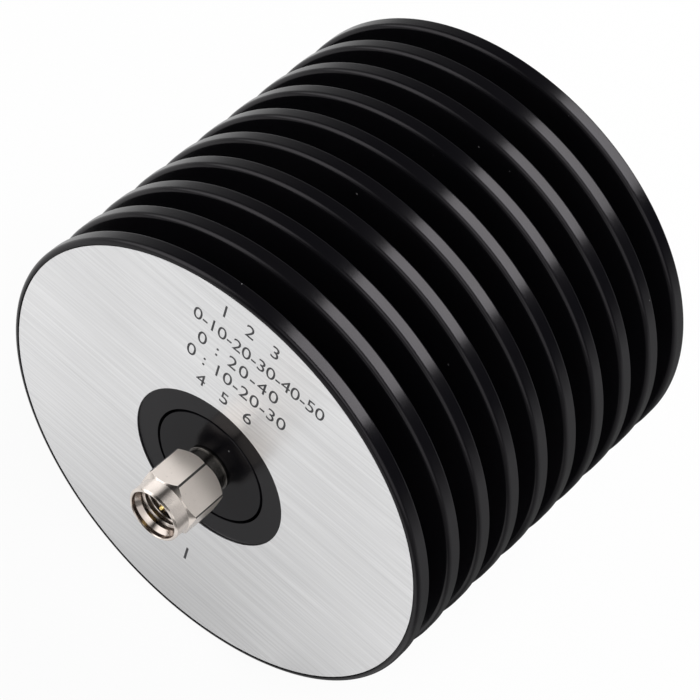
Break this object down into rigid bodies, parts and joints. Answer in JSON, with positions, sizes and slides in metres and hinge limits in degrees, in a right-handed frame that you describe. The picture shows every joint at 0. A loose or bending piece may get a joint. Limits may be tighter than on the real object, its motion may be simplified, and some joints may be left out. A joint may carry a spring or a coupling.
{
  "type": "rf attenuator",
  "caption": "Round finned power attenuator for radio frequencies, with a coaxial plug and coupling nut in front and a threaded coaxial jack behind.",
  "frame": {"origin": "on the axis, midway between the ends of the two connectors", "axes": "+Y along the axis from the plug in front to the jack behind, +X to the right of the label plate as it is read, +Z to its top"},
  "size_m": [0.065, 0.0732, 0.065],
  "materials": {
    "heat_sink": "black anodised, fine turned, satin",
    "label_plate": "brushed in straight lines, semi gloss, with plain grey numbers",
    "core": "black anodised, matt",
    "chip": "as fired, with a dark resistive film",
    "contacts": "gold plated, bright",
    "connector_bodies": "fine turned stainless steel",
    "beads": "machined insulating plastic",
    "retaining_ring": "spring steel",
    "coupling_nut": "satin stainless steel with turned edges",
    "screws": "dark steel"
  },
  "bodies": {
    "attenuator_body": {"heat_sink": "heat_sink", "label_plate": "label_plate", "core_base": "core", "core_cover": "core", "attenuator_chip": "chip", "input_tab": "contacts", "output_tab": "contacts", "plug_body": "connector_bodies", "input_bead": "beads", "input_pin": "contacts", "retaining_ring": "retaining_ring", "jack_body": "connector_bodies", "output_bead": "beads", "output_socket": "contacts", "cover_screw_1": "screws", "cover_screw_2": "screws", "cover_screw_3": "screws", "cover_screw_4": "screws", "set_screw_front": "screws", "set_screw_rear": "screws"},
    "nut": {"coupling_nut": "coupling_nut"}
  },
  "joints": [
    {"name": "coupling_nut_spin", "type": "hinge", "parent": "attenuator_body", "child": "nut", "pos_m": [0, -0.02842, 0], "axis": [0, 1, 0], "continuous": true}
  ]
}
